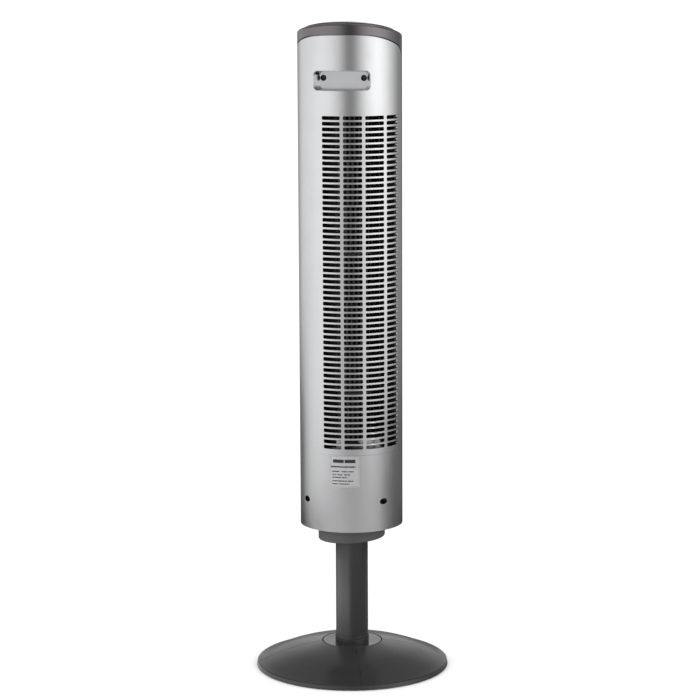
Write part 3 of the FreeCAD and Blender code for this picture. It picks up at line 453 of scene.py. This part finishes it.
place = on_label(math.radians(1.3))
bm = bmesh.new()
import random
rng = random.Random(7)
WORDS = [  # (height, bar height, runs of the line), in millimetres
    (352.3, 2.5, [(-20.6, 20.0)]),
    (344.5, 1.8, [(-18.4, -5.8), (-2.3, 7.8), (9.4, 17.2)]),
    (339.3, 1.8, [(-18.4, -12.05), (-10.0, -0.5), (1.6, 11.8)]),
    (334.7, 1.8, [(-18.45, -4.0), (-2.0, 6.1)]),
    (329.0, 1.8, [(-18.5, 5.6), (7.4, 16.3)]),
    (324.0, 1.8, [(-18.7, -8.1), (-6.1, 10.3)]),
]
for v, h, runs in WORDS:
    for u0, u1 in runs:
        u = u0
        while u < u1 - 0.9:
            w = min(rng.uniform(2.6, 6.0), u1 - u)
            strip(bm, place, u / 1000.0, (u + w) / 1000.0, v / 1000.0, h / 1000.0, 0.00004)
            u += w + rng.uniform(0.5, 0.9)
# heading: two plain heavy bars standing for a generic title
strip(bm, place, -0.0170, 0.0010, 0.3616, 0.0056, 0.00004)
strip(bm, place, 0.0024, 0.0200, 0.3616, 0.0056, 0.00004)
mesh_object("label_print", bm, "ink", "head")

# thin printed border of the label
bm = bmesh.new()
place = on_label(math.radians(2.6))
hw = 0.0233
for v in (LAB_Z0 + 0.0012, LAB_Z1 - 0.0012):
    strip(bm, place, -hw, hw, v, 0.00022, 0.00003)
for u in (-hw, hw):
    pill(bm, place, u, (LAB_Z0 + LAB_Z1) / 2, 0.00022, LAB_Z1 - LAB_Z0 - 0.0024, 0.00003, seg=1)
mesh_object("label_border", bm, "ink", "head")

# symbols on the buttons, on the top face of each one
TILT = math.atan(0.2)
RIM_Z = 1.0468
PSPH = (74.0 ** 2 + 11.0 ** 2) / 22.0
PZC = 4.3 + 11.0 - PSPH
BUTTONS = {"power": (-40.0, -36.0), "speed": (-20.5, -42.0), "timer": (0.0, -44.0),
           "swing": (20.5, -42.0), "mode": (40.0, -36.0)}


def on_button(x, y):
    zt = PZC + math.sqrt(PSPH ** 2 - x * x - y * y) + 1.3

    def place(u, v, lift):
        lx, ly, lz = (x / 1000.0 + u), (y / 1000.0 + v), zt / 1000.0 + lift + 0.00001
        return (lx, ly * math.cos(TILT) - lz * math.sin(TILT), RIM_Z + ly * math.sin(TILT) + lz * math.cos(TILT))
    return place


def ring_arc(bm, place, r, w, a0, a1, t, seg=28):
    """Curved stroke from a0 to a1 degrees."""
    loops = []
    for k in range(seg + 1):
        a = math.radians(a0 + (a1 - a0) * k / seg)
        c, s = math.cos(a), math.sin(a)
        loops.append([bm.verts.new(place(q * c, q * s, l)) for q, l in
                      ((r - w / 2, 0.0), (r + w / 2, 0.0), (r + w / 2, t), (r - w / 2, t))])
    for a, b in zip(loops, loops[1:]):
        for i in range(4):
            bm.faces.new((a[i], b[i], b[(i + 1) % 4], a[(i + 1) % 4]))
    bm.faces.new(list(reversed(loops[0])))
    bm.faces.new(loops[-1])


T = 0.00005
for key, (x, y) in BUTTONS.items():
    bm = bmesh.new()
    place = on_button(x, y)
    if key == "power":
        ring_arc(bm, place, 0.0026, 0.0006, 120, 420, T)
        pill(bm, place, 0.0, 0.0024, 0.0006, 0.0030, T)
    elif key == "speed":
        for k in range(3):
            pill(bm, place, -0.0022 + 0.0022 * k, -0.0010 + 0.0006 * k, 0.0012, 0.0024 + 0.0012 * k, T)
    elif key == "timer":
        ring_arc(bm, place, 0.0028, 0.0005, 0, 359.0, T, 40)
        pill(bm, place, 0.0, 0.0009, 0.0005, 0.0018, T)
        pill(bm, place, 0.0007, 0.0, 0.0014, 0.0005, T)
    elif key == "swing":
        ring_arc(bm, place, 0.0030, 0.0006, 20, 160, T)
        ring_arc(bm, place, 0.0014, 0.0005, 20, 160, T)
        pill(bm, place, -0.0028, 0.0004, 0.0016, 0.0006, T)
        pill(bm, place, 0.0028, 0.0004, 0.0016, 0.0006, T)
    else:
        for k in range(3):
            ring_arc(bm, place, 0.0010 + 0.0010 * k, 0.0005, 200, 340, T, 16)
    mesh_object("mark_" + key, bm, "mark", key + "_button")

# ------------------------------------------------------------------- studio


def stage_material(name, colour, rough):
    b = Build(name)
    b.link(b.mix(b.spread(b.noise(1.6, 3.0), 0.0, 1.0), tuple(c * 0.992 for c in colour), colour),
           b.bsdf.inputs["Base Color"])
    b.bsdf.inputs["Roughness"].default_value = rough
    b.bsdf.inputs["Specular IOR Level"].default_value = 0.0
    return b.m


bm = bmesh.new()
bmesh.ops.create_grid(bm, x_segments=2, y_segments=2, size=220.0)
me = bpy.data.meshes.new("studio_floor")
bm.to_mesh(me)
bm.free()
floor = bpy.data.objects.new("studio_floor", me)
scene.collection.objects.link(floor)
me.materials.append(stage_material("floor_paper", (0.93, 0.93, 0.93), 0.9))
floor.visible_glossy = False

world = bpy.data.worlds.new("studio_world")
scene.world = world
world.use_nodes = True
bg = world.node_tree.nodes["Background"]
bg.inputs["Color"].default_value = (1.0, 1.0, 1.0, 1.0)
bg.inputs["Strength"].default_value = 1.25
world.cycles_visibility.glossy = False

# Softboxes and flags round the set, as the glossy surfaces see them: bright
# panels left and right, a gap where the camera stands, dark behind.
surround = Build("studio_surround")
sn = surround.n
sn.remove(surround.bsdf)
sep = sn.new("ShaderNodeSeparateXYZ")
surround.link(surround.coord.outputs["Object"], sep.inputs[0])
azim = surround.maths("ARCTAN2", sep.outputs["X"], surround.maths("MULTIPLY", sep.outputs["Y"], -1.0))
pos01 = surround.maths("ADD", surround.maths("MULTIPLY", azim, 0.5 / math.pi), 0.5)
elev = surround.maths("DIVIDE", sep.outputs["Z"], 60.0)


def at(deg):
    return 0.5 + deg / 360.0


PEAK = 2.0


def ring(stops):
    return surround.ramp(pos01, [(at(a), v / PEAK) for a, v in stops])


upper = ring([(-180, 0.25), (-150, 0.50), (-132, 0.98), (-112, 1.14), (-85, 1.29), (-62, 1.37), (-42, 1.31),
              (-26, 1.05), (-17, 0.75), (-9, 0.40), (0, 0.28), (9, 0.36), (18, 0.70), (27, 1.10), (40, 1.53),
              (58, 1.76), (72, 1.74), (88, 1.42), (100, 1.06), (115, 0.66), (133, 0.33), (180, 0.22)])
lower = ring([(-180, 0.12), (-135, 0.16), (-118, 0.50), (-95, 0.90), (-75, 1.02), (-50, 0.86), (-25, 0.64),
              (0, 0.57), (40, 0.57), (60, 0.50), (78, 0.30), (100, 0.18), (125, 0.13), (180, 0.12)])
low_sky = ring([(-180, 1.05), (-168, 0.72), (-150, 0.40), (-110, 0.42), (-60, 0.80), (-20, 0.50), (0, 0.30),
                (25, 0.60), (45, 1.0), (62, 1.6), (78, 1.0), (92, 0.40), (150, 0.38), (168, 0.68), (180, 1.05)])
sky = ring([(-180, 0.26), (-110, 0.40), (-60, 0.78), (-20, 0.48), (0, 0.28), (25, 0.60), (45, 1.0), (62, 1.6),
            (78, 1.0), (92, 0.35), (180, 0.24)])


def step(x, a, b):
    r = sn.new("ShaderNodeMapRange")
    r.interpolation_type = "SMOOTHSTEP"
    r.inputs["From Min"].default_value = a
    r.inputs["From Max"].default_value = b
    surround.link(x, r.inputs["Value"])
    return r.outputs["Result"]


mix1 = surround.mix(step(elev, math.sin(math.radians(-7.5)), math.sin(math.radians(-10.5))), upper, lower)
mix2 = surround.mix(step(elev, math.sin(math.radians(1)), math.sin(math.radians(6))), mix1, low_sky)
mix3 = surround.mix(step(elev, math.sin(math.radians(19)), math.sin(math.radians(40))), mix2, sky)
em = sn.new("ShaderNodeEmission")
surround.link(mix3, em.inputs["Color"])
em.inputs["Strength"].default_value = PEAK
surround.link(em.outputs[0], next(x for x in sn if x.type == "OUTPUT_MATERIAL").inputs["Surface"])

bm = bmesh.new()
bmesh.ops.create_uvsphere(bm, u_segments=96, v_segments=48, radius=60.0)
me = bpy.data.meshes.new("studio_surround")
bm.to_mesh(me)
bm.free()
dome = bpy.data.objects.new("studio_surround", me)
scene.collection.objects.link(dome)
dome.matrix_world = Matrix(((EX.x, EY.x, 0, 0), (EX.y, EY.y, 0, 0), (0, 0, 1, 0), (0, 0, 0, 1)))
me.materials.append(surround.m)
for flag in ("camera", "diffuse", "transmission", "volume_scatter", "shadow"):
    setattr(dome, "visible_" + flag, False)

# The floor near the fan as the glossy surfaces see it: the pale sheet is lit
# from the left, and the fan's own shadow lies on the right.
card = Build("floor_reflection")
cn = card.n
cn.remove(card.bsdf)
csep = cn.new("ShaderNodeSeparateXYZ")
card.link(card.coord.outputs["Object"], csep.inputs[0])
caz = card.maths("ARCTAN2", csep.outputs["X"], card.maths("MULTIPLY", csep.outputs["Y"], -1.0))
cpos = card.maths("ADD", card.maths("MULTIPLY", caz, 0.5 / math.pi), 0.5)
crad = card.maths("SQRT", card.maths("ADD", card.maths("MULTIPLY", csep.outputs["X"], csep.outputs["X"]),
                                     card.maths("MULTIPLY", csep.outputs["Y"], csep.outputs["Y"])))


def card_ring(stops):
    return card.ramp(cpos, [(at(a), v / PEAK) for a, v in stops])


def card_step(a, b):
    r = cn.new("ShaderNodeMapRange")
    r.interpolation_type = "SMOOTHSTEP"
    r.inputs["From Min"].default_value = a
    r.inputs["From Max"].default_value = b
    card.link(crad, r.inputs["Value"])
    return r.outputs["Result"]


card_near = card_ring([(-180, 0.26), (-140, 0.32), (-115, 1.30), (-90, 1.95), (-30, 1.95), (-15, 1.00), (0, 0.44),
                       (40, 0.32), (70, 0.28), (110, 0.26), (150, 0.24), (180, 0.26)])
card_foot = card_ring([(-180, 0.22), (-140, 0.24), (-115, 0.60), (-90, 0.85), (-30, 0.85), (-15, 0.60), (0, 0.36),
                       (40, 0.28), (70, 0.24), (110, 0.22), (150, 0.20), (180, 0.22)])
card_mid = card_ring([(-180, 0.05), (-130, 0.05), (-100, 0.06), (-70, 0.08), (-45, 0.16), (-20, 0.50), (0, 0.60),
                      (50, 0.60), (64, 0.48), (80, 0.24), (105, 0.10), (180, 0.05)])
card_far = card_ring([(-180, 0.12), (-135, 0.20), (-118, 0.60), (-95, 0.95), (-70, 1.00), (-50, 0.86), (-25, 0.62),
                      (0, 0.57), (46, 0.57), (60, 0.48), (78, 0.28), (100, 0.17), (180, 0.12)])
c0 = card.mix(card_step(0.22, 0.48), card_foot, card_near)
c1 = card.mix(card_step(0.74, 0.86), c0, card_mid)
c2 = card.mix(card_step(1.14, 1.32), c1, card_far)
cem = cn.new("ShaderNodeEmission")
card.link(c2, cem.inputs["Color"])
cem.inputs["Strength"].default_value = PEAK
card.link(cem.outputs[0], next(x for x in cn if x.type == "OUTPUT_MATERIAL").inputs["Surface"])
bm = bmesh.new()
bmesh.ops.create_circle(bm, cap_ends=True, segments=96, radius=2.8)
me = bpy.data.meshes.new("floor_reflection")
bm.to_mesh(me)
bm.free()
disc = bpy.data.objects.new("floor_reflection", me)
scene.collection.objects.link(disc)
disc.matrix_world = Matrix(((EX.x, EY.x, 0, 0), (EX.y, EY.y, 0, 0), (0, 0, 1, -0.002), (0, 0, 0, 1)))
me.materials.append(card.m)
for flag in ("camera", "diffuse", "transmission", "volume_scatter", "shadow"):
    setattr(disc, "visible_" + flag, False)
